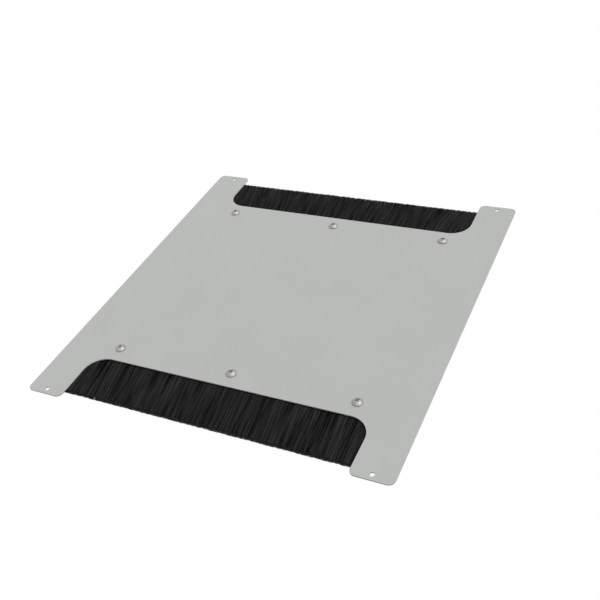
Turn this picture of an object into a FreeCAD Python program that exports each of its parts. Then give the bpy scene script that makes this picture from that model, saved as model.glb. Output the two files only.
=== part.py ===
import FreeCAD, Part
import os
import re

import Sketcher

# A cable entry plate for the roof or floor of a cabinet, in millimetres.
# A flat painted sheet, shaped like an H, has a wide notch in its front and in its rear end. A strip
# brush hangs under each notch and closes it, and cables pass between the bristles.
# +X runs along the brushes, +Y to the rear and +Z out of the cabinet. The origin is the centre of the
# four corner holes, on the face of the sheet that lies on the cabinet.

DIMENSIONS = [
    ("notch_width", 300, "opening between the tabs"),
    ("notch_depth", 60, "opening, from the end of the tabs to its back edge"),
    ("tab_width", 40, "sheet beside a notch"),
    ("web_depth", 280, "sheet between the back edges of the notches"),
    ("sheet_thick", 1.2, "sheet"),
    ("notch_radius", 21, "inner corners of the notches"),
    ("tab_radius", 6, "corners of the tabs"),
    ("edge_break", 0.1, "painted edges of the sheet"),
    ("corner_hole_dia", 4.5, "clearance for a 4 mm screw"),
    ("corner_hole_side", 20.5, "corner hole to the side of the sheet"),
    ("corner_hole_end", 6, "corner hole to the end of the tab"),
    ("brush_overlap", 10, "brush beyond the side of the notch"),
    ("screw_inset", 31, "outer screw to the end of the brush"),
    ("screw_clearance", 0.5, "screw hole wider than the screw"),
    ("carrier_wall", 1, "walls of the carrier's section"),
    ("carrier_flange", 10, "flange beyond the screw line"),
    ("carrier_round", 0.5, "outer corners under the channel"),
    ("mouth_setback", 2, "mouth of the carrier behind the edge of the notch"),
    ("lip_length", 0.8, "lips at the mouth, along the bristles"),
    ("lip_height", 0.4, "lips at the mouth, across the bristles"),
    ("washer_gap", 1.1, "washer to the back wall of the carrier"),
    ("strip_height", 5, "folded steel strip, outside"),
    ("strip_depth", 6, "folded steel strip, outside"),
    ("strip_thick", 0.5, "folded steel strip"),
    ("strip_bend", 1.2, "inside of the bends at the back of the strip"),
    ("strip_fit", 0.05, "strip to the carrier, all round"),
    ("pinch", 0.35, "how far the end of each leg is pressed in"),
    ("pinch_length", 2, "end of the legs that is pressed in"),
    ("wire_dia", 1.6, "core wire, round which the bristles are folded"),
    ("tip_inset", 12, "bristle tips to the end of the tabs"),
    ("bristle_spread", 6.2, "thickness of the bristles once they have spread"),
    ("flare_length", 4, "from the mouth, over which the bristles spread"),
    ("tuft_pitch", 6.4, "between neighbouring tufts"),
    ("furrow_width", 2, "furrow between two tufts"),
    ("furrow_depth", 0.9, "furrow between two tufts"),
    ("wide_furrow_width", 3.6, "furrow where the tufts stand further apart"),
    ("wide_furrow_depth", 1.3, "furrow where the tufts stand further apart"),
    ("tip_step", 0.1, "how much shorter the next shorter tuft is"),
    ("screw_dia", 5, "shank of the screw"),
    ("screw_length", 10, "shank of the screw"),
    ("head_dia", 10, "domed pan head"),
    ("head_height", 3.7, "domed pan head"),
    ("head_rim", 1.1, "upright rim of the head"),
    ("recess_span", 5, "cross recess, from end to end of an arm"),
    ("recess_arm", 1.4, "cross recess, width of an arm"),
    ("recess_depth", 2.3, "cross recess"),
    ("recess_taper", 8, "degrees that the walls of the recess lean in"),
    ("recess_turn", 45, "degrees from the brush to an arm"),
    ("washer_dia", 10, "plain washer"),
    ("washer_bore", 5.3, "plain washer"),
    ("washer_thick", 1, "plain washer"),
    ("nut_flats", 8, "hexagon nut, across its flats"),
    ("nut_height", 4, "hexagon nut"),
    ("nut_chamfer", 0.35, "how far the nut's corners are turned down"),
    ("thread_gap", 0.05, "nut to shank, all round"),
]
SHEET = "dims"

# Places on the sheet.
HALF_WIDTH = "(notch_width / 2 + tab_width)"
NOTCH_SIDE = "(notch_width / 2)"
NOTCH_BACK = "(web_depth / 2)"
HALF_DEPTH = f"({NOTCH_BACK} + notch_depth)"
CORNER_HOLE_X = f"({HALF_WIDTH} - corner_hole_side)"
CORNER_HOLE_Y = f"({HALF_DEPTH} - corner_hole_end)"
BRUSH_LENGTH = "(notch_width + 2 * brush_overlap)"
SCREW_PITCH = f"({BRUSH_LENGTH} / 2 - screw_inset)"
SCREW_HOLE = "(screw_dia + screw_clearance)"

# Places in a brush's own frame. Its origin is in the middle of the notch's back edge, on the underside
# of the sheet, and its +Y runs out along the bristles.
MOUTH = "(-mouth_setback)"
CAVITY_FRONT = f"({MOUTH} - lip_length)"
STRIP_FRONT = f"({CAVITY_FRONT} - strip_fit)"
LEG_BEND = f"({STRIP_FRONT} - pinch_length)"
STRIP_BACK = f"({STRIP_FRONT} - strip_depth)"
CAVITY_BACK = f"({STRIP_BACK} - strip_fit)"
CARRIER_BACK = f"({CAVITY_BACK} - carrier_wall)"
SCREW_ROW = f"({CARRIER_BACK} - washer_gap - washer_dia / 2)"
FLANGE_END = f"({SCREW_ROW} - carrier_flange)"
FLARE_END = f"({MOUTH} + flare_length)"
TIPS = "(notch_depth - tip_inset)"
TUFTS = f"round({BRUSH_LENGTH} / tuft_pitch)"
CAVITY_HALF = "(strip_height / 2 + strip_fit)"
BRUSH_LEVEL = f"(-carrier_wall - {CAVITY_HALF})"
FOLD_BACK = f"({STRIP_BACK} + strip_thick)"
FOLD_HALF = "(strip_height / 2 - strip_thick)"
PINCHED_HALF = f"({FOLD_HALF} - pinch)"
SPREAD_HALF = "(bristle_spread / 2)"

# The screws stand in two rows on the sheet, and the parts under it are stacked on them.
SCREW_LINE = f"({NOTCH_BACK} + {SCREW_ROW})"
NUT_TOP = "(-carrier_wall - washer_thick)"
NUT_BORE = "(screw_dia + 2 * thread_gap)"
NUT_CORNER = "(nut_flats / 2 / cos(30))"

# Every so many tufts, counted from a first one, a tuft is shorter by so many steps, or the furrow
# before it has another width and depth.
SHORT_TUFTS = [(3, 1, 1), (5, 2, 2), (7, 4, 3)]
FURROWS = [
    (1, 1, "furrow_width", "furrow_depth"),
    (3, 2, "wide_furrow_width", "wide_furrow_depth"),
    (7, 4, "wide_furrow_width", "wide_furrow_depth"),
]

doc = FreeCAD.newDocument("cable_entry_plate")


def make_sheet():
    """The driving dimensions, one to a row: name, value and meaning."""
    cells = doc.addObject("Spreadsheet::Sheet", SHEET)
    for row, (alias, value, meaning) in enumerate(DIMENSIONS, start=1):
        cells.set("A%d" % row, alias)
        cells.set("B%d" % row, str(value))
        cells.set("C%d" % row, meaning)
        cells.setAlias("B%d" % row, alias)
    doc.recompute()
    return cells


sheet = make_sheet()


def in_sheet(expression):
    """The expression, with the name of each dimension written as a cell of the sheet."""
    names = "|".join(alias for alias, value, meaning in DIMENSIONS)
    return re.sub(r"\b(%s)\b" % names, SHEET + r".\1", expression)


def value_of(expression):
    return float(sheet.evalExpression(in_sheet(expression)))


def bind(feature, prop, expression):
    feature.setExpression(prop, in_sheet(expression))


def negative(expression):
    return "0" if expression == "0" else f"(-{expression})"


def point_at(place):
    return FreeCAD.Vector(value_of(place[0]), value_of(place[1]), 0)


# Sketches

def new_body(label):
    body = doc.addObject("PartDesign::Body", label)
    body.Label = label
    return body


def origin_feature(body, role):
    return [feature for feature in body.Origin.OriginFeatures if feature.Role == role][0]


def new_sketch(body, plane, name):
    sketch = body.newObject("Sketcher::SketchObject", name)
    sketch.AttachmentSupport = [(origin_feature(body, plane), "")]
    sketch.MapMode = "FlatFace"
    return sketch


def tie(sketch, geometry, end, place):
    """Holds a point of a sketch at a place, (x, y)."""
    for kind, other_axis, expression in zip(("DistanceX", "DistanceY"), (-2, -1), place):
        if expression == "0":
            sketch.addConstraint(Sketcher.Constraint("PointOnObject", geometry, end, other_axis))
        else:
            value = value_of(expression)
            datum = sketch.addConstraint(Sketcher.Constraint(kind, -1, 1, geometry, end, value))
            bind(sketch, "Constraints[%d]" % datum, expression)


def draw_outline(sketch, corners, domed=False):
    """A closed outline through the corners. The last side, if domed, is an arc about the Y axis."""
    points = [point_at(corner) for corner in corners]
    sides = []
    for start, end in zip(points, points[1:] + points[:1]):
        sides.append(Part.LineSegment(start, end))
    ends = [(1, 2)] * len(sides)
    if domed:
        sides[-1] = arc_about_axis(points[0], points[-1])
        ends[-1] = (2, 1)
    names = [sketch.addGeometry(side) for side in sides]
    for i in range(len(names)):
        sketch.addConstraint(
            Sketcher.Constraint("Coincident", names[i - 1], ends[i - 1][1], names[i], ends[i][0]))
        tie(sketch, names[i], ends[i][0], corners[i])
    if domed:
        sketch.addConstraint(Sketcher.Constraint("PointOnObject", names[-1], 3, -2))


def arc_about_axis(low_end, top):
    """The arc from a low end up to the top, which lies on the Y axis, as the arc's centre does."""
    drop = top.y - low_end.y
    radius = (low_end.x ** 2 + drop ** 2) / (2 * drop)
    circle = Part.Circle(FreeCAD.Vector(0, top.y - radius, 0), FreeCAD.Vector(0, 0, 1), radius)
    return Part.ArcOfCircle(circle, circle.parameter(low_end), circle.parameter(top))


def draw_circle(sketch, place, diameter):
    radius = value_of(diameter) / 2
    circle = sketch.addGeometry(Part.Circle(point_at(place), FreeCAD.Vector(0, 0, 1), radius))
    tie(sketch, circle, 3, place)
    datum = sketch.addConstraint(Sketcher.Constraint("Diameter", circle, 2 * radius))
    bind(sketch, "Constraints[%d]" % datum, diameter)


# Features

def pad(body, sketch, length, symmetric=False, backwards=False):
    feature = body.newObject("PartDesign::Pad", sketch.Name + "_pad")
    feature.Profile = sketch
    if symmetric:
        feature.SideType = "Symmetric"
    feature.Reversed = backwards
    bind(feature, "Length", length)
    doc.recompute()
    return feature


def cut(body, kind, sketch, **settings):
    """A pocket or groove, which has to take something off the body."""
    before = body.Tip.Shape.Volume
    feature = body.newObject("PartDesign::" + kind, sketch.Name + "_cut")
    feature.Profile = sketch
    for prop, value in settings.items():
        setattr(feature, prop, value)
    doc.recompute()
    if not feature.Shape.Volume < before:
        raise RuntimeError(feature.Label + " cuts nothing")
    return feature


def revolve(body, sketch):
    feature = body.newObject("PartDesign::Revolution", sketch.Name + "_turned")
    feature.Profile = sketch
    feature.ReferenceAxis = (origin_feature(body, "Z_Axis"), [""])
    feature.Angle = 360
    doc.recompute()
    return feature


def edges_along(shape, axis, places):
    """Names of the straight edges that run along an axis (0, 1 or 2) through one of the places."""
    found = []
    for number, edge in enumerate(shape.Edges, start=1):
        ends = [vertex.Point for vertex in edge.Vertexes]
        if len(ends) < 2:
            continue
        across = [ends[0][other] for other in range(3) if other != axis]
        level = all(
            abs(ends[0][other] - ends[1][other]) < 1e-6 for other in range(3) if other != axis)
        here = any(
            abs(across[0] - place.x) < 1e-6 and abs(across[1] - place.y) < 1e-6 for place in places)
        if level and here:
            found.append("Edge%d" % number)
    return found


def dress(body, kind, name, size, edges):
    """A fillet or chamfer of the body's edges."""
    base = body.Tip
    feature = body.newObject("PartDesign::" + kind, name)
    feature.Base = (base, edges)
    bind(feature, {"Fillet": "Radius", "Chamfer": "Size"}[kind], size)
    doc.recompute()
    return feature


def linear_pattern(body, name, originals, axes):
    """Repeats features along one or two axes, each (role of the axis, whole length, count)."""
    feature = body.newObject("PartDesign::LinearPattern", name)
    feature.Originals = originals
    feature.Refine = False
    for suffix, (role, length, count) in zip(("", "2"), axes):
        setattr(feature, "Direction" + suffix, (origin_feature(body, role), [""]))
        setattr(feature, "Mode" + suffix, "Extent")
        bind(feature, "Length" + suffix, length)
        bind(feature, "Occurrences" + suffix, count)
    body.Tip = feature
    doc.recompute()
    return feature


# The sheet

def make_cover_plate():
    body = new_body("cover_plate")
    sketch = new_sketch(body, "XY_Plane", "sheet_outline")
    quarter = [
        (HALF_WIDTH, HALF_DEPTH),
        (NOTCH_SIDE, HALF_DEPTH),
        (NOTCH_SIDE, NOTCH_BACK),
    ]
    rear_left = [(negative(x), y) for x, y in reversed(quarter)]
    rear = quarter + rear_left
    front = [(x, negative(y)) for x, y in reversed(rear)]
    draw_outline(sketch, rear + front)
    pad(body, sketch, "sheet_thick")

    signs = [(1, 1), (-1, 1), (-1, -1), (1, -1)]
    outer, inner, back = [point_at(place) for place in quarter]
    back_corners = [FreeCAD.Vector(i * back.x, j * back.y, 0) for i, j in signs]
    tab_corners = [FreeCAD.Vector(i * p.x, j * p.y, 0) for i, j in signs for p in (outer, inner)]
    dress(body, "Fillet", "notch_corners", "notch_radius", edges_along(body.Tip.Shape, 2, back_corners))
    dress(body, "Fillet", "tab_corners", "tab_radius", edges_along(body.Tip.Shape, 2, tab_corners))
    faces = [face for face in body.Tip.Shape.Faces if abs(face.normalAt(0, 0).z) > 0.5]
    rims = [
        "Edge%d" % number for number, edge in enumerate(body.Tip.Shape.Edges, start=1)
        if any(edge.isSame(rim) for face in faces for rim in face.Edges)
    ]
    dress(body, "Chamfer", "painted_edges", "edge_break", rims)

    corner_holes = new_sketch(body, "XY_Plane", "corner_holes")
    screw_holes = new_sketch(body, "XY_Plane", "screw_holes")
    for j in (str, negative):
        for i in (str, negative):
            draw_circle(corner_holes, (i(CORNER_HOLE_X), j(CORNER_HOLE_Y)), "corner_hole_dia")
        for x in (negative(SCREW_PITCH), "0", SCREW_PITCH):
            draw_circle(screw_holes, (x, j(SCREW_LINE)), SCREW_HOLE)
    for sketch in (corner_holes, screw_holes):
        cut(body, "Pocket", sketch, Type="ThroughAll", Reversed=True)
    return body


# A brush, with its bristles to the rear

def make_carrier(label):
    """An aluminium section: a flange under the sheet, and a channel with lips at its mouth."""
    body = new_body(label)
    sketch = new_sketch(body, "YZ_Plane", label + "_section")
    wall = "(-carrier_wall)"
    lip_top = f"({wall} - lip_height)"
    floor = f"({wall} - 2 * {CAVITY_HALF})"
    lip_floor = f"({floor} + lip_height)"
    underside = f"({floor} - carrier_wall)"
    draw_outline(sketch, [
        (FLANGE_END, "0"),
        (FLANGE_END, wall),
        (CARRIER_BACK, wall),
        (CARRIER_BACK, underside),
        (MOUTH, underside),
        (MOUTH, lip_floor),
        (CAVITY_FRONT, lip_floor),
        (CAVITY_FRONT, floor),
        (CAVITY_BACK, floor),
        (CAVITY_BACK, wall),
        (CAVITY_FRONT, wall),
        (CAVITY_FRONT, lip_top),
        (MOUTH, lip_top),
        (MOUTH, "0"),
    ])
    pad(body, sketch, BRUSH_LENGTH, symmetric=True)
    corners = [point_at((CARRIER_BACK, underside)), point_at((MOUTH, underside))]
    dress(body, "Fillet", label + "_corners", "carrier_round", edges_along(body.Tip.Shape, 0, corners))
    holes = new_sketch(body, "XY_Plane", label + "_holes")
    for x in (negative(SCREW_PITCH), "0", SCREW_PITCH):
        draw_circle(holes, (x, SCREW_ROW), SCREW_HOLE)
    cut(body, "Pocket", holes, Type="ThroughAll")
    return body


def above_and_below(side):
    """A section that is the same above and below the brush's level, from its upper side."""
    upper = [(y, f"({BRUSH_LEVEL} + {half})") for y, half in side]
    lower = [(y, f"({BRUSH_LEVEL} - {half})") for y, half in reversed(side)]
    return upper + lower


def make_channel(label):
    """A steel strip folded into a U, with the ends of its legs pressed onto the bristles."""
    body = new_body(label)
    sketch = new_sketch(body, "YZ_Plane", label + "_section")
    outside = [
        (STRIP_BACK, f"({FOLD_HALF} + strip_thick)"),
        (LEG_BEND, f"({FOLD_HALF} + strip_thick)"),
        (STRIP_FRONT, f"({PINCHED_HALF} + strip_thick)"),
    ]
    inside = [(STRIP_FRONT, PINCHED_HALF), (LEG_BEND, FOLD_HALF), (FOLD_BACK, FOLD_HALF)]
    draw_outline(sketch, above_and_below(outside + inside))
    pad(body, sketch, BRUSH_LENGTH, symmetric=True)
    for name, back, half, radius in (
        ("inner", FOLD_BACK, FOLD_HALF, "strip_bend"),
        ("outer", STRIP_BACK, f"({FOLD_HALF} + strip_thick)", "(strip_bend + strip_thick)"),
    ):
        bends = [point_at(place) for place in above_and_below([(back, half)])]
        edges = edges_along(body.Tip.Shape, 0, bends)
        dress(body, "Fillet", "%s_%s_bends" % (label, name), radius, edges)
    return body


def make_core_wire(label):
    body = new_body(label)
    sketch = new_sketch(body, "YZ_Plane", label + "_section")
    draw_circle(sketch, (f"({FOLD_BACK} + {FOLD_HALF})", BRUSH_LEVEL), "wire_dia")
    pad(body, sketch, BRUSH_LENGTH, symmetric=True)
    return body


def make_bristles(label):
    """The bristles, folded round the wire and spreading beyond the strip into tufts."""
    body = new_body(label)
    sketch = new_sketch(body, "YZ_Plane", label + "_section")
    draw_outline(sketch, above_and_below([
        (FOLD_BACK, FOLD_HALF),
        (LEG_BEND, FOLD_HALF),
        (STRIP_FRONT, PINCHED_HALF),
        (FLARE_END, SPREAD_HALF),
        (TIPS, SPREAD_HALF),
    ]))
    draw_circle(sketch, (f"({FOLD_BACK} + {FOLD_HALF})", BRUSH_LEVEL), "wire_dia")
    pad(body, sketch, BRUSH_LENGTH, symmetric=True)
    folds = [point_at(place) for place in above_and_below([(FOLD_BACK, FOLD_HALF)])]
    dress(body, "Fillet", label + "_fold", "strip_bend", edges_along(body.Tip.Shape, 0, folds))
    for every, first, steps in SHORT_TUFTS:
        shorten_tufts(body, "%s_every_%d" % (label, every), every, first, steps)
    for every, first, width, depth in FURROWS:
        part_tufts(body, "%s_furrow_%d" % (label, every), every, first, width, depth)
    return body


def shorten_tufts(body, name, every, first, steps):
    """Cuts every so many tufts shorter by some steps."""
    left = before_tuft(first)
    right = f"({left} + tuft_pitch)"
    short = f"({TIPS} - {steps} * tip_step)"
    beyond = f"({TIPS} + tip_step)"
    sketch = new_sketch(body, "XY_Plane", name)
    draw_outline(sketch, [(left, short), (right, short), (right, beyond), (left, beyond)])
    repeat_along(body, cut(body, "Pocket", sketch, Type="ThroughAll"), every, first)


def part_tufts(body, name, every, first, width, depth):
    """Cuts a furrow above and one below, before every so many tufts, from the mouth to the tips."""
    sketch = new_sketch(body, "XZ_Plane", name)
    bind(sketch, "AttachmentOffset.Base.z", negative(MOUTH))
    middle = before_tuft(first)
    for sign in "+-":
        draw_outline(sketch, [
            (middle, f"({BRUSH_LEVEL} {sign} ({SPREAD_HALF} - {depth}))"),
            (f"({middle} - {width})", f"({BRUSH_LEVEL} {sign} ({SPREAD_HALF} + {depth}))"),
            (f"({middle} + {width})", f"({BRUSH_LEVEL} {sign} ({SPREAD_HALF} + {depth}))"),
        ])
    repeat_along(body, cut(body, "Pocket", sketch, Type="ThroughAll"), every, first)


def before_tuft(number):
    """The place along the brush where a tuft begins, counted from the brush's left end."""
    return f"({number} * tuft_pitch - {BRUSH_LENGTH} / 2)"


def repeat_along(body, feature, every, first):
    """Repeats the cut of one tuft at every so many tufts, up to the right end of the brush."""
    count = f"ceil(({TUFTS} - {first}) / {every})"
    span = f"(({count} - 1) * {every} * tuft_pitch)"
    linear_pattern(body, feature.Name + "_repeated", [feature], [("X_Axis", span, count)])


# The fasteners, each a set of six

def six_of(body, originals):
    """Two rows of three, from one that stands at the body's origin."""
    body.AllowCompound = True
    linear_pattern(body, body.Label + "_rows", originals, [
        ("X_Axis", f"(2 * {SCREW_PITCH})", "3"),
        ("Y_Axis", f"(2 * {SCREW_LINE})", "2"),
    ])
    bind(body, "Placement.Base.x", negative(SCREW_PITCH))
    bind(body, "Placement.Base.y", negative(SCREW_LINE))
    return body


def make_screws():
    """Pan head screws with a cross recess."""
    body = new_body("screws")
    sketch = new_sketch(body, "XZ_Plane", "screw_profile")
    shank = "(screw_dia / 2)"
    head = "(head_dia / 2)"
    top = "(sheet_thick + head_height)"
    end = "(sheet_thick - screw_length)"
    draw_outline(sketch, [
        (head, "(sheet_thick + head_rim)"),
        (head, "sheet_thick"),
        (shank, "sheet_thick"),
        (shank, end),
        ("0", end),
        ("0", top),
    ], domed=True)
    turned = revolve(body, sketch)
    cross = new_sketch(body, "XY_Plane", "cross_recess")
    bind(cross, "AttachmentOffset.Base.z", top)
    bind(cross, "AttachmentOffset.Rotation.Angle", "recess_turn")
    reach = "(recess_span / 2)"
    side = "(recess_arm / 2)"
    quarter = [(reach, side), (side, side), (side, reach)]
    left = [(negative(x), y) for x, y in reversed(quarter)]
    back = quarter + left
    draw_outline(cross, back + [(x, negative(y)) for x, y in reversed(back)])
    recess = cut(body, "Pocket", cross, Type="Length")
    bind(recess, "Length", "recess_depth")
    bind(recess, "TaperAngle", "-recess_taper")
    return six_of(body, [turned, recess])


def make_washers():
    body = new_body("washers")
    sketch = new_sketch(body, "XY_Plane", "washer_outline")
    bind(sketch, "AttachmentOffset.Base.z", "(-carrier_wall)")
    draw_circle(sketch, ("0", "0"), "washer_dia")
    draw_circle(sketch, ("0", "0"), "washer_bore")
    return six_of(body, [pad(body, sketch, "washer_thick", backwards=True)])


def make_nuts():
    """Hexagon nuts, with their corners turned down at the lower end."""
    body = new_body("nuts")
    sketch = new_sketch(body, "XY_Plane", "nut_outline")
    bind(sketch, "AttachmentOffset.Base.z", NUT_TOP)
    flat = "(nut_flats / 2)"
    half = f"({NUT_CORNER} / 2)"
    upper = [(NUT_CORNER, "0"), (half, flat), (negative(half), flat)]
    draw_outline(sketch, upper + [(negative(x), negative(y)) for x, y in upper])
    draw_circle(sketch, ("0", "0"), NUT_BORE)
    prism = pad(body, sketch, "nut_height", backwards=True)
    corners = new_sketch(body, "XZ_Plane", "nut_corners")
    end = f"({NUT_TOP} - nut_height)"
    draw_outline(corners, [
        (flat, end),
        (NUT_CORNER, end),
        (NUT_CORNER, f"({end} + nut_chamfer)"),
    ])
    axis = (origin_feature(body, "Z_Axis"), [""])
    turned = cut(body, "Groove", corners, ReferenceAxis=axis, Angle=360)
    return six_of(body, [prism, turned])


# The assembly

def place_brush(body, front):
    """Hangs a part of a brush under the rear notch, or turned about under the front one."""
    if front:
        body.Placement.Rotation = FreeCAD.Rotation(FreeCAD.Vector(0, 0, 1), 180)
    bind(body, "Placement.Base.y", negative(NOTCH_BACK) if front else NOTCH_BACK)


parts = [make_cover_plate(), make_screws(), make_washers(), make_nuts()]
for side in ("front", "rear"):
    brush = [
        make_carrier(side + "_carrier"),
        make_channel(side + "_channel"),
        make_core_wire(side + "_core_wire"),
        make_bristles(side + "_bristles"),
    ]
    for piece in brush:
        place_brush(piece, side == "front")
    parts += brush
doc.recompute()

for feature in doc.Objects:
    if {"Invalid", "Error"} & set(feature.State):
        raise RuntimeError("%s: %s" % (feature.Label, feature.State))
for piece in parts:
    if piece.Shape.isNull() or not piece.Shape.isValid():
        raise RuntimeError(piece.Label + " has no valid shape")

os.makedirs("parts", exist_ok=True)
for piece in parts:
    piece.Shape.exportStep("parts/%s.step" % piece.Label)
    print("%-18s %d solids %10.1f mm3" % (piece.Label, len(piece.Shape.Solids), piece.Shape.Volume))
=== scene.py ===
import math

import bmesh
import bpy
import numpy as np
from mathutils import Matrix, Vector


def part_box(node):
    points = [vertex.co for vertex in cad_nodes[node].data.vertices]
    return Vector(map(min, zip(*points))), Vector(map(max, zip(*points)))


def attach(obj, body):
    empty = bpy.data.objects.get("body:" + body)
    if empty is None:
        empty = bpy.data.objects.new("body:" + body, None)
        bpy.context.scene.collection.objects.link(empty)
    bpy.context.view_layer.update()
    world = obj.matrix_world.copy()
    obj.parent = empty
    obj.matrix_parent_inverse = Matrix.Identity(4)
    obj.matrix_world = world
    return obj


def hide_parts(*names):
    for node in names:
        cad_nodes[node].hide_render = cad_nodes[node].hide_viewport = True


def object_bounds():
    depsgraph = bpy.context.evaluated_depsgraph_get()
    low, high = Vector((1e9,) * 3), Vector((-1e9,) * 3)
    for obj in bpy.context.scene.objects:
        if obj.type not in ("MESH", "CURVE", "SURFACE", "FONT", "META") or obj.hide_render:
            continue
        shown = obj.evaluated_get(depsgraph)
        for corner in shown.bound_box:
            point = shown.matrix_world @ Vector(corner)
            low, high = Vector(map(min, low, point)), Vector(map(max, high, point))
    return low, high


# Looks of a cable entry plate with two strip brushes. Lengths are in metres.
MM = 0.001

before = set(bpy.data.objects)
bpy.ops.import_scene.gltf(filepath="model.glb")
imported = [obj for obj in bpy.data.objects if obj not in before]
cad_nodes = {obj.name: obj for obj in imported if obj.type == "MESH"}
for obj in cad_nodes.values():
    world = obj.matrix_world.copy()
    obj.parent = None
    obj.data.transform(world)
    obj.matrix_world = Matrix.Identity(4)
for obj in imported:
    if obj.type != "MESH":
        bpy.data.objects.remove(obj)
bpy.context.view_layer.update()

# Places that the pieces here share with the frame
WASHER_RADIUS = 5 * MM
SHEET_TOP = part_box("cover_plate")[1][2]
SCREW_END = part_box("screws")[0][2]
SCREW_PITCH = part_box("washers")[1][0] - WASHER_RADIUS
SCREW_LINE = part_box("washers")[1][1] - WASHER_RADIUS


# Camera, fitted to the photograph

IMAGE_SIDE = 600
FOCAL_PIXELS = 836.73
SENSOR = 36
NEAREST = 0.01
FARTHEST = 50
CAMERA_PLACE = Vector((372.34, -579.67, 538.61)) * MM
CAMERA_RIGHT = Vector((0.8972024, 0.4159541, -0.1483577))
CAMERA_DOWN = Vector((0.1607526, -0.6205010, -0.7675527))
CAMERA_FORWARD = Vector((-0.4113228, 0.6648013, -0.6235807))


def make_camera():
    data = bpy.data.cameras.new("camera")
    data.sensor_width = SENSOR
    data.lens = FOCAL_PIXELS / IMAGE_SIDE * SENSOR
    data.clip_start = NEAREST
    data.clip_end = FARTHEST
    camera = bpy.data.objects.new("camera", data)
    bpy.context.scene.collection.objects.link(camera)
    turn = Matrix((CAMERA_RIGHT, -CAMERA_DOWN, -CAMERA_FORWARD)).transposed()
    camera.matrix_world = Matrix.Translation(CAMERA_PLACE) @ turn.to_4x4()
    bpy.context.scene.camera = camera


# Materials

class Nodes:
    """A material's node tree, with short calls for the nodes that the finishes share."""

    def __init__(self, name):
        self.material = bpy.data.materials.new(name)
        self.material.use_nodes = True
        self.tree = self.material.node_tree
        self.shader = self.tree.nodes["Principled BSDF"]
        self.place = self.add("ShaderNodeTexCoord").outputs["Object"]

    def add(self, kind, inputs=None, **settings):
        node = self.tree.nodes.new(kind)
        for name, value in settings.items():
            setattr(node, name, value)
        for name, value in (inputs or {}).items():
            self.feed(node.inputs[name], value)
        return node

    def feed(self, socket, value):
        if isinstance(value, bpy.types.NodeSocket):
            self.tree.links.new(value, socket)
        else:
            socket.default_value = value

    def set(self, **inputs):
        for name, value in inputs.items():
            self.feed(self.shader.inputs[name.replace("_", " ")], value)

    def stretched(self, x, y, z):
        """The place on the object, with each axis scaled."""
        return self.add("ShaderNodeMapping", {"Vector": self.place, "Scale": (x, y, z)}).outputs[0]

    def noise(self, scale, detail, place=None, roughness=0.5):
        inputs = {"Vector": place or self.place, "Scale": scale, "Detail": detail, "Roughness": roughness}
        return self.add("ShaderNodeTexNoise", inputs).outputs["Fac"]

    def between(self, value, low, high, start=0.0, end=1.0):
        """low where value is start, high where it is end."""
        inputs = {"Value": value, "From Min": start, "From Max": end, "To Min": low, "To Max": high}
        return self.add("ShaderNodeMapRange", inputs).outputs[0]

    def blend(self, factor, low, high):
        """A colour from low to high."""
        node = self.add("ShaderNodeMix", data_type="RGBA")
        self.feed(node.inputs[0], factor)
        self.feed(node.inputs[6], (*low, 1))
        self.feed(node.inputs[7], (*high, 1))
        return node.outputs[2]

    def sum(self, *parts):
        """The sum of values, each with its weight."""
        total = 0.0
        for value, weight in parts:
            inputs = (value, weight, total)
            node = self.add("ShaderNodeMath", operation="MULTIPLY_ADD")
            for socket, given in zip(node.inputs, inputs):
                self.feed(socket, given)
            total = node.outputs[0]
        return total

    def bump(self, height, depth):
        inputs = {"Height": height, "Distance": depth, "Strength": 1.0}
        return self.add("ShaderNodeBump", inputs).outputs[0]


def powder_coat():
    """Light grey, with the fine peel of a baked powder and a faint cloudiness."""
    nodes = Nodes("powder_coat")
    peel = nodes.noise(1400, 3, roughness=0.6)
    clouds = nodes.between(nodes.noise(14, 3), 0, 1, 0.35, 0.65)
    nodes.set(
        Base_Color=nodes.blend(clouds, (0.474, 0.486, 0.469), (0.484, 0.496, 0.479)),
        Roughness=nodes.between(peel, 0.42, 0.56, 0.3, 0.7),
        Normal=nodes.bump(peel, 0.012 * MM),
    )
    nodes.shader.inputs["IOR"].default_value = 1.45
    return nodes.material


def aluminium():
    """Mill finish, drawn along the brush, with die lines."""
    nodes = Nodes("extruded_aluminium")
    lines = nodes.noise(1, 4, nodes.stretched(6, 5000, 5000), 0.7)
    stains = nodes.noise(60, 3)
    nodes.set(
        Base_Color=nodes.blend(stains, (0.58, 0.59, 0.60), (0.66, 0.67, 0.68)),
        Roughness=nodes.between(lines, 0.28, 0.46, 0.3, 0.7),
        Normal=nodes.bump(lines, 0.01 * MM),
    )
    nodes.shader.inputs["Metallic"].default_value = 1
    return nodes.material


def galvanised(name, low, high):
    """Zinc dipped steel, in crystals of slightly different greys."""
    nodes = Nodes(name)
    crystals = nodes.add("ShaderNodeTexVoronoi", {"Vector": nodes.place, "Scale": 320.0}).outputs["Color"]
    tone = nodes.add("ShaderNodeSeparateColor", {"Color": crystals}).outputs[0]
    grain = nodes.noise(2500, 2)
    nodes.set(
        Base_Color=nodes.blend(tone, low, high),
        Roughness=nodes.between(tone, 0.32, 0.5),
        Normal=nodes.bump(grain, 0.01 * MM),
    )
    nodes.shader.inputs["Metallic"].default_value = 1
    return nodes.material


def zinc_plate():
    """Zinc plate with a warm passivation, a little clouded by handling."""
    nodes = Nodes("zinc_plate")
    smears = nodes.noise(350, 4, roughness=0.65)
    nodes.set(
        Base_Color=nodes.blend(smears, (0.35, 0.342, 0.315), (0.43, 0.422, 0.39)),
        Roughness=nodes.between(smears, 0.5, 0.6, 0.3, 0.7),
        Normal=nodes.bump(nodes.noise(1800, 3), 0.006 * MM),
    )
    nodes.shader.inputs["Metallic"].default_value = 1
    return nodes.material


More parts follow.
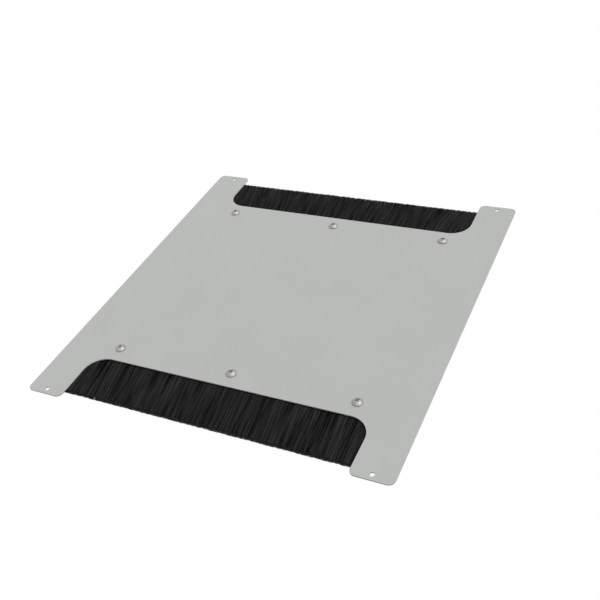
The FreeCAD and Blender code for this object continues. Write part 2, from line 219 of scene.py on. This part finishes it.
def bristle_fibre():
    """Black filaments, each with its own tone, in lighter and darker streaks along them."""
    nodes = Nodes("bristle_fibre")
    nodes.place = nodes.add("ShaderNodeAttribute", attribute_name=UPRIGHT_PLACE).outputs["Vector"]
    own = nodes.add("ShaderNodeNewGeometry").outputs["Random Per Island"]
    fine = nodes.between(nodes.noise(1, 2, nodes.stretched(850, 18, 60), 0.6), 0, 1, 0.38, 0.62)
    broad = nodes.between(nodes.noise(1, 2, nodes.stretched(70, 7, 5), 0.6), 0, 1, 0.36, 0.64)
    tone = nodes.between(nodes.sum((own, 0.23), (fine, 0.55), (broad, 0.22)), 0, 1, 0.2, 0.8)
    nodes.set(
        Base_Color=nodes.blend(tone, (0.002, 0.002, 0.002), (0.04, 0.04, 0.04)),
        Roughness=nodes.between(own, 0.55, 0.75),
    )
    nodes.shader.inputs["Specular IOR Level"].default_value = 0.04
    return nodes.material


def cut_fibre():
    """The cut ends of the filaments, greyer than their sides, and palest at the underside from painted
    floor light.
    """
    nodes = Nodes("cut_fibre")
    own = nodes.add("ShaderNodeNewGeometry").outputs["Random Per Island"]
    height = nodes.add("ShaderNodeSeparateXYZ", {"Vector": nodes.place}).outputs["Z"]
    # Painted light: the lower cut ends are made paler, in place of light bounced up from the floor.
    low = nodes.between(height, 1, 0, *PAINTED_FLOOR_LIGHT_HEIGHTS)
    tone = nodes.sum((low, 0.75), (own, 0.25))
    nodes.set(Base_Color=nodes.blend(tone, (0.03, 0.03, 0.03), (0.55, 0.55, 0.55)))
    nodes.shader.inputs["Roughness"].default_value = 0.8
    nodes.shader.inputs["Specular IOR Level"].default_value = 0.2
    return nodes.material


def studio_floor():
    """White to the camera, with a faint shadow of what lies on it."""
    nodes = Nodes("studio_floor")
    tree = nodes.tree
    seen = seen_ray(tree)
    tone = nodes.blend(seen, [FLOOR_BOUNCE] * 3, [FLOOR_TONE] * 3)
    shade = nodes.add("ShaderNodeBsdfDiffuse", {"Color": tone})
    white = nodes.add("ShaderNodeEmission", {"Color": (1, 1, 1, 1), "Strength": FLOOR_GLOW})
    mix = nodes.add("ShaderNodeMixShader")
    nodes.feed(mix.inputs[0], nodes.between(seen, 0, FLOOR_WHITE))
    nodes.feed(mix.inputs[1], shade.outputs[0])
    nodes.feed(mix.inputs[2], white.outputs[0])
    nodes.feed(tree.nodes["Material Output"].inputs["Surface"], mix.outputs[0])
    tree.nodes.remove(nodes.shader)
    return nodes.material


def seen_ray(tree):
    """1 for a ray from the camera, a reflection or a refraction, and 0 for light on its way."""
    path = tree.nodes.new("ShaderNodeLightPath")
    total = path.outputs["Is Camera Ray"]
    for name in ("Is Glossy Ray", "Is Transmission Ray"):
        either = tree.nodes.new("ShaderNodeMath")
        either.operation = "MAXIMUM"
        tree.links.new(total, either.inputs[0])
        tree.links.new(path.outputs[name], either.inputs[1])
        total = either.outputs[0]
    return total


def paint(piece, material):
    piece.data.materials.clear()
    piece.data.materials.append(material)


def new_piece(name, mesh, material):
    piece = bpy.data.objects.new(name, mesh)
    bpy.context.scene.collection.objects.link(piece)
    mesh.materials.append(material)
    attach(piece, "root")
    return piece


# Bristles

# Each brush's side, the sign of its tips' direction along Y, and its seed. The front brush is the rear
# one turned about, so its tufts are placed by sign * x.
BRUSHES = (("front", -1, 11), ("rear", 1, 12))

# Rows of filaments from the underside of a brush to its upper side. The inner ones cling together.
CLUMPS = 420
ROW_COUNTS = (1000, 900, 1000, 640, *[CLUMPS] * 9, 640, 1000, 1000)
# How far a filament strays from its row, as a share of half the brush's thickness
ROW_JITTER = 0.02
FILAMENT_RADIUS = 0.18 * MM
CLUMP_RADIUS = 0.3 * MM
# The thinnest filament, as a share of these radii
THINNEST = 0.8
SIDES = 3
# The filaments start this far in front of the fold, are this thick together until they leave the
# strip, and spread until this far beyond the carrier's mouth.
ROOT = 1.5 * MM
PINCHED_HALF = 1.65 * MM
FLARE_LENGTH = 4 * MM

# The share of the furrows' depth that the filaments leave open
FURROW_OPEN = 0.45
# The most that a tip moves towards the middle of its tuft, as a share of the way there
LEAN = 0.05
# How far the tips stray along X, and how far a small share of them does
STRAY = 0.15 * MM
WILD_STRAY = 6 * STRAY
WILD_SHARE = 0.05
# How uneven the tips are, and how short a few of them are. The higher the power, the fewer they are.
UNEVEN = 0.08 * MM
SHORTEST = 8 * UNEVEN
SHORTEST_POWER = 14
# The heights between which the painted floor light on the cut ends goes from palest to darkest
PAINTED_FLOOR_LIGHT_HEIGHTS = (-6.5 * MM, -3 * MM)

# How far a brush leans along X for each unit of its length, at its middle, and how much that changes
# for each metre along X. The lean fades out at the ends of the brush.
SIDEWAYS = {"front": (0.15, -0.55), "rear": (-0.085, 1.2)}
SIDEWAYS_FADE = 38 * MM
# The attribute that holds where each point would be without that lean, for the streaks to follow it
UPRIGHT_PLACE = "upright_place"

# The solid's tufts. Every so many of them, from a first one, end some steps short of the longest.
TUFT_PITCH = 6.4 * MM
TIP_STEP = 0.1 * MM
SHORT_TUFTS = ((3, 1, 1), (5, 2, 2), (7, 4, 3))
# The furrows between them. Every so many, from a first one, have this width and depth.
FURROWS = ((1, 1, 2.0 * MM, 0.9 * MM), (3, 2, 3.6 * MM, 1.3 * MM), (7, 4, 3.6 * MM, 1.3 * MM))


def furrow_depth(x, half_length):
    """How far the furrows between the tufts reach below the brush's surface."""
    depth = np.zeros_like(x)
    for every, first, width, deepest in FURROWS:
        for number in range(first, round(2 * half_length / TUFT_PITCH), every):
            place = number * TUFT_PITCH - half_length
            depth = np.maximum(depth, deepest * (1 - np.abs(x - place) / (width / 2)))
    return depth


def tuft_shortness(x, half_length):
    """How much shorter than the longest the tuft at a place is."""
    tuft = np.floor((x + half_length) / TUFT_PITCH).astype(int)
    short = np.zeros_like(x)
    for every, first, steps in SHORT_TUFTS:
        chosen = (tuft >= first) & ((tuft - first) % every == 0)
        short[chosen] = np.maximum(short[chosen], steps * TIP_STEP)
    return short


def tip_shift(rng, side, sign, x, half_length, free_length):
    """How far each tip lies along X from where its filament leaves the strip."""
    count = len(x)
    own_x = sign * x
    tuft_middle = (np.floor((own_x + half_length) / TUFT_PITCH) + 0.5) * TUFT_PITCH - half_length
    shift = sign * (tuft_middle - own_x) * rng.uniform(0, LEAN, count)
    stray = rng.normal(0, STRAY, count)
    stray += rng.normal(0, WILD_STRAY, count) * (rng.random(count) < WILD_SHARE)
    middle_slope, slope_change = SIDEWAYS[side]
    fade = np.clip((half_length - np.abs(x)) / SIDEWAYS_FADE, 0, 1)
    return shift + stray + (middle_slope + slope_change * x) * fade * free_length


def bristle_mesh(name, side, sign, seed):
    """A brush's filaments, from inside the strip to their tips, which point along sign * Y."""
    rng = np.random.default_rng(seed)
    low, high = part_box(side + "_bristles")
    half_length = high[0]
    level = (low[2] + high[2]) / 2
    fold, tips = sorted((abs(low[1]), abs(high[1])))
    strip_front = max(abs(corner[1]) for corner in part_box(side + "_channel"))
    mouth = max(abs(corner[1]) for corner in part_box(side + "_carrier"))

    places = np.concatenate([(np.arange(count) + rng.random(count)) / count for count in ROW_COUNTS])
    count = len(places)
    clump = np.repeat(ROW_COUNTS, ROW_COUNTS) == CLUMPS
    radius = np.where(clump, CLUMP_RADIUS, FILAMENT_RADIUS) * rng.uniform(THINNEST, 1, count)
    edge = half_length - radius
    x = edge * (2 * places - 1)
    rows = len(ROW_COUNTS)
    height = 2 * np.repeat(np.arange(rows), ROW_COUNTS) / (rows - 1) - 1
    height = np.clip(height + rng.normal(0, ROW_JITTER, count), -1, 1)
    shift = tip_shift(rng, side, sign, x, half_length, tips - strip_front)
    furrows = FURROW_OPEN * furrow_depth(sign * x, half_length)
    short = tuft_shortness(sign * x, half_length) + np.abs(rng.normal(0, UNEVEN, count))
    short += rng.random(count) ** SHORTEST_POWER * SHORTEST
    turn = rng.uniform(0, 2 * math.pi, count)

    # Each station has a place along the filaments, a half thickness of the brush and a share of the
    # furrows.
    spread_half = (high[2] - low[2]) / 2
    stations = (
        (fold + ROOT, PINCHED_HALF, 0),
        (strip_front, PINCHED_HALF, 0),
        (mouth + FLARE_LENGTH, spread_half, 1),
        (tips - short, spread_half, 1),
    )
    rings = []
    upright = []
    for along, half, open_share in stations:
        beyond = np.maximum(along - strip_front, 0) / (tips - strip_front)
        across = np.clip(x + shift * beyond, -edge, edge)
        outward = np.broadcast_to(sign * along, count)
        rise = level + height * (half - open_share * furrows - FILAMENT_RADIUS)
        for corner in range(SIDES):
            angle = turn + corner * 2 * math.pi / SIDES
            up = rise + radius * np.sin(angle)
            rings.append(np.stack([across + radius * np.cos(angle), outward, up], axis=1))
            upright.append(np.stack([x, outward, up], axis=1))
    verts = np.stack(rings, axis=1).reshape(-1, 3)
    mesh = strand_mesh(name, verts, len(stations), sign > 0)
    place = mesh.attributes.new(UPRIGHT_PLACE, "FLOAT_VECTOR", "POINT")
    place.data.foreach_set("vector", np.stack(upright, axis=1).ravel())
    return mesh


def strand_mesh(name, verts, stations, flip):
    """Strands with SIDES corners at each station. The faces of the cut tips have material 1."""
    per_strand = stations * SIDES
    sides = []
    for station in range(stations - 1):
        for corner in range(SIDES):
            a = station * SIDES + corner
            b = station * SIDES + (corner + 1) % SIDES
            sides.append([a, a + SIDES, b + SIDES, b])
    root = list(range(SIDES))
    tip = list(range(per_strand - SIDES, per_strand))[::-1]
    step = 1 if flip else -1
    offset = np.arange(0, len(verts), per_strand)[:, None, None]
    sides = (np.array(sides)[:, ::step] + offset).reshape(-1, 4)
    roots, tips = ((np.array([end])[:, ::step] + offset).reshape(-1, SIDES) for end in (root, tip))
    mesh = bpy.data.meshes.new(name)
    mesh.from_pydata(verts, [], sides.tolist() + roots.tolist() + tips.tolist())
    number = np.arange(len(mesh.polygons))
    mesh.polygons.foreach_set("material_index", (number >= len(sides) + len(roots)).astype(int))
    mesh.update()
    return mesh


def make_bristles(fibre, cut_ends):
    for side, sign, seed in BRUSHES:
        name = side + "_filaments"
        piece = new_piece(name, bristle_mesh(name, side, sign, seed), fibre)
        piece.data.materials.append(cut_ends)
        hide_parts(side + "_bristles")


# Screws

HEAD_RADIUS = 5.0 * MM
HEAD_HEIGHT = 3.7 * MM
HEAD_RIM = 1.1 * MM
# How far the head's edges are rounded, and the points between, as shares of that
EDGE = 0.18 * MM
EDGE_BEND = 0.3
SHOULDER_BEND = 0.45
SHOULDER_DROP = 1.3
SHANK_RADIUS = 2.5 * MM
THREAD_PITCH = 0.8 * MM
THREAD_DEPTH = 0.42 * MM
SHANK_CHAMFER = 0.6 * MM

RECESS_REACH = 2.5 * MM
RECESS_HALF_ARM = 0.7 * MM
RECESS_DEPTH = 2.3 * MM
RECESS_LEAN = math.tan(math.radians(8))
RECESS_TURN = math.radians(45)
# The arms also lose this much of their reach for each unit of depth.
REACH_LOSS = 0.25
# From this share of its depth the recess draws in to a blunt point of this share of its width.
POINT_FROM = 0.8
POINT_WIDTH = 0.35
# How far the cutter of the recess starts above the head
CUTTER_ABOVE = 1.5 * MM

# Corners round a screw, steps over its dome and steps in a turn of its thread
ROUND = 72
DOME_STEPS = 18
TURN_STEPS = 8
# The radius of a small flat at the middle of the dome, which the recess takes away
DOME_FLAT = 0.05 * MM
# Edges sharper than this aren't smoothed.
SHARP_ANGLE = math.radians(32)
# How much further each screw is turned than a straight one, in degrees
SCREW_TURNS = (0, 4, -3, 5, -2, 3)


def head_profile():
    """The head from the middle of its dome to the shank, as (radius, height above the sheet)."""
    drop = HEAD_HEIGHT - HEAD_RIM
    dome = (HEAD_RADIUS ** 2 + drop ** 2) / (2 * drop)
    reach = math.asin((HEAD_RADIUS - EDGE) / dome)
    points = []
    for i in range(DOME_STEPS + 1):
        angle = reach * i / DOME_STEPS
        points.append((dome * math.sin(angle), HEAD_HEIGHT - dome * (1 - math.cos(angle))))
    shoulder = points[-1][1]
    points.append((HEAD_RADIUS - EDGE_BEND * EDGE, shoulder - SHOULDER_BEND * EDGE))
    points.append((HEAD_RADIUS, shoulder - SHOULDER_DROP * EDGE))
    points.append((HEAD_RADIUS, EDGE))
    points.append((HEAD_RADIUS - EDGE_BEND * EDGE, EDGE_BEND * EDGE))
    points.append((HEAD_RADIUS - EDGE, 0.0))
    return points


def shank_radius(height, angle, length):
    """The thread's surface at a height below the head, with a chamfered end."""
    phase = (height / THREAD_PITCH + angle / (2 * math.pi)) % 1.0
    thread = SHANK_RADIUS - THREAD_DEPTH * (1 - abs(2 * phase - 1))
    chamfer = SHANK_RADIUS - SHANK_CHAMFER + max(length - height, 0)
    return min(thread, chamfer)


def lathe(bm, rows):
    """Joins closed rows of points, from the top to the bottom, and caps both ends."""
    rings = [[bm.verts.new(point) for point in row] for row in rows]
    for upper, lower in zip(rings, rings[1:]):
        for i in range(len(upper)):
            j = (i + 1) % len(upper)
            bm.faces.new((upper[i], lower[i], lower[j], upper[j]))
    bm.faces.new(rings[0])
    bm.faces.new(rings[-1][::-1])


def ring(radius, height):
    return [
        (radius * math.cos(2 * math.pi * i / ROUND), radius * math.sin(2 * math.pi * i / ROUND), height)
        for i in range(ROUND)
    ]


def screw_mesh():
    """One screw, with its head on the plane Z = 0, its thread and its cross recess."""
    bm = bmesh.new()
    rows = [ring(max(radius, DOME_FLAT), height) for radius, height in head_profile()]
    length = SHEET_TOP - SCREW_END
    steps = int(length / THREAD_PITCH * TURN_STEPS)
    for step in range(steps + 1):
        height = length * step / steps
        row = []
        for i in range(ROUND):
            angle = 2 * math.pi * i / ROUND
            radius = shank_radius(height, angle, length)
            row.append((radius * math.cos(angle), radius * math.sin(angle), -height))
        rows.append(row)
    lathe(bm, rows)
    bmesh.ops.recalc_face_normals(bm, faces=bm.faces)
    mesh = bpy.data.meshes.new("screw")
    bm.to_mesh(mesh)
    bm.free()
    return cut_recess(mesh)


def recess_cutter():
    """A cross whose walls lean in towards a blunt point."""
    bm = bmesh.new()
    rows = []
    for depth, width in ((-CUTTER_ABOVE, 1), (RECESS_DEPTH * POINT_FROM, 1), (RECESS_DEPTH, POINT_WIDTH)):
        shrink = depth * RECESS_LEAN
        reach = (RECESS_REACH - shrink - max(depth, 0) * REACH_LOSS) * width
        arm = (RECESS_HALF_ARM - shrink) * width
        quarter = [(reach, -arm), (reach, arm), (arm, arm)]
        row = []
        for k in range(4):
            turn = Matrix.Rotation(RECESS_TURN + k * math.pi / 2, 2)
            row += [(*(turn @ Vector(point)), HEAD_HEIGHT - depth) for point in quarter]
        rows.append(row)
    lathe(bm, rows)
    bmesh.ops.recalc_face_normals(bm, faces=bm.faces)
    mesh = bpy.data.meshes.new("recess")
    bm.to_mesh(mesh)
    bm.free()
    return mesh


def cut_recess(mesh):
    body = bpy.data.objects.new("screw_blank", mesh)
    cutter = bpy.data.objects.new("recess_cutter", recess_cutter())
    for item in (body, cutter):
        bpy.context.scene.collection.objects.link(item)
    boolean = body.modifiers.new("recess", "BOOLEAN")
    boolean.object = cutter
    boolean.operation = "DIFFERENCE"
    boolean.solver = "EXACT"
    bpy.context.view_layer.update()
    graph = bpy.context.evaluated_depsgraph_get()
    result = bpy.data.meshes.new_from_object(body.evaluated_get(graph))
    for item in (body, cutter):
        bpy.data.objects.remove(item)
    return result


def make_screws(material):
    """Six screws in two rows, as one piece. Each is turned a little differently."""
    one = screw_mesh()
    bm = bmesh.new()
    places = [(column, sign) for sign in (-1, 1) for column in (-1, 0, 1)]
    for (column, sign), turn in zip(places, SCREW_TURNS):
        spin = Matrix.Rotation(math.radians(turn), 4, "Z")
        place = Matrix.Translation((column * SCREW_PITCH, sign * SCREW_LINE, SHEET_TOP))
        copy = one.copy()
        copy.transform(place @ spin)
        bm.from_mesh(copy)
        bpy.data.meshes.remove(copy)
    mesh = bpy.data.meshes.new("pan_head_screws")
    bm.to_mesh(mesh)
    bm.free()
    mesh.polygons.foreach_set("use_smooth", [True] * len(mesh.polygons))
    mesh.set_sharp_from_angle(angle=SHARP_ANGLE)
    piece = new_piece("pan_head_screws", mesh, material)
    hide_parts("screws")


# Light and floor

FLOOR_SIDE = 30
FLOOR_TONE = 0.12
FLOOR_BOUNCE = 0.04
FLOOR_WHITE = 0.8
FLOOR_GLOW = 1.23
SKY_DARK_AT = -1.0
SKY_DARK = 0.18
SKY_BRIGHT = 0.68
SKY_TOWARDS = Vector((0.70, 0.35, 0.60)).normalized()
SUN = 1.58
SUN_WIDTH = math.radians(50)
SUN_TOWARDS = Vector((0.55, 0.0, 0.83))


def make_floor():
    mesh = bpy.data.meshes.new("floor")
    half = FLOOR_SIDE / 2
    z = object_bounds()[0][2]
    corners = [(-half, -half, z), (half, -half, z), (half, half, z), (-half, half, z)]
    mesh.from_pydata(corners, [], [(0, 1, 2, 3)])
    floor = bpy.data.objects.new("floor", mesh)
    bpy.context.scene.collection.objects.link(floor)
    paint(floor, studio_floor())


def make_world():
    """White where it is seen. It lights the object from the right and from behind."""
    world = bpy.data.worlds.new("studio")
    bpy.context.scene.world = world
    world.use_nodes = True
    tree = world.node_tree
    side = tree.nodes.new("ShaderNodeVectorMath")
    side.operation = "DOT_PRODUCT"
    side.inputs[1].default_value = SKY_TOWARDS
    tree.links.new(tree.nodes.new("ShaderNodeTexCoord").outputs["Generated"], side.inputs[0])
    level = tree.nodes.new("ShaderNodeMapRange")
    level.inputs["From Min"].default_value = SKY_DARK_AT
    level.inputs["To Min"].default_value = SKY_DARK
    level.inputs["To Max"].default_value = SKY_BRIGHT
    tree.links.new(side.outputs["Value"], level.inputs["Value"])
    seen = tree.nodes.new("ShaderNodeMix")
    tree.links.new(seen_ray(tree), seen.inputs[0])
    tree.links.new(level.outputs[0], seen.inputs[2])
    seen.inputs[3].default_value = 1
    background = tree.nodes["Background"]
    background.inputs["Color"].default_value = (1, 1, 1, 1)
    tree.links.new(seen.outputs[0], background.inputs["Strength"])


def make_sun():
    data = bpy.data.lights.new("key", "SUN")
    data.energy = SUN
    data.angle = SUN_WIDTH
    key = bpy.data.objects.new("key", data)
    bpy.context.scene.collection.objects.link(key)
    key.rotation_euler = SUN_TOWARDS.to_track_quat("Z", "Y").to_euler()


make_camera()
paint(cad_nodes["cover_plate"], powder_coat())
metal = aluminium()
strip = galvanised("galvanised_strip", (0.47, 0.49, 0.51), (0.60, 0.62, 0.64))
wire = galvanised("core_wire", (0.46, 0.47, 0.48), (0.56, 0.57, 0.58))
for side in ("front", "rear"):
    paint(cad_nodes[side + "_carrier"], metal)
    paint(cad_nodes[side + "_channel"], strip)
    paint(cad_nodes[side + "_core_wire"], wire)
zinc = zinc_plate()
paint(cad_nodes["washers"], zinc)
paint(cad_nodes["nuts"], zinc)
make_screws(zinc)
make_bristles(bristle_fibre(), cut_fibre())
make_floor()
make_world()
make_sun()
bpy.context.scene.view_settings.view_transform = "Standard"
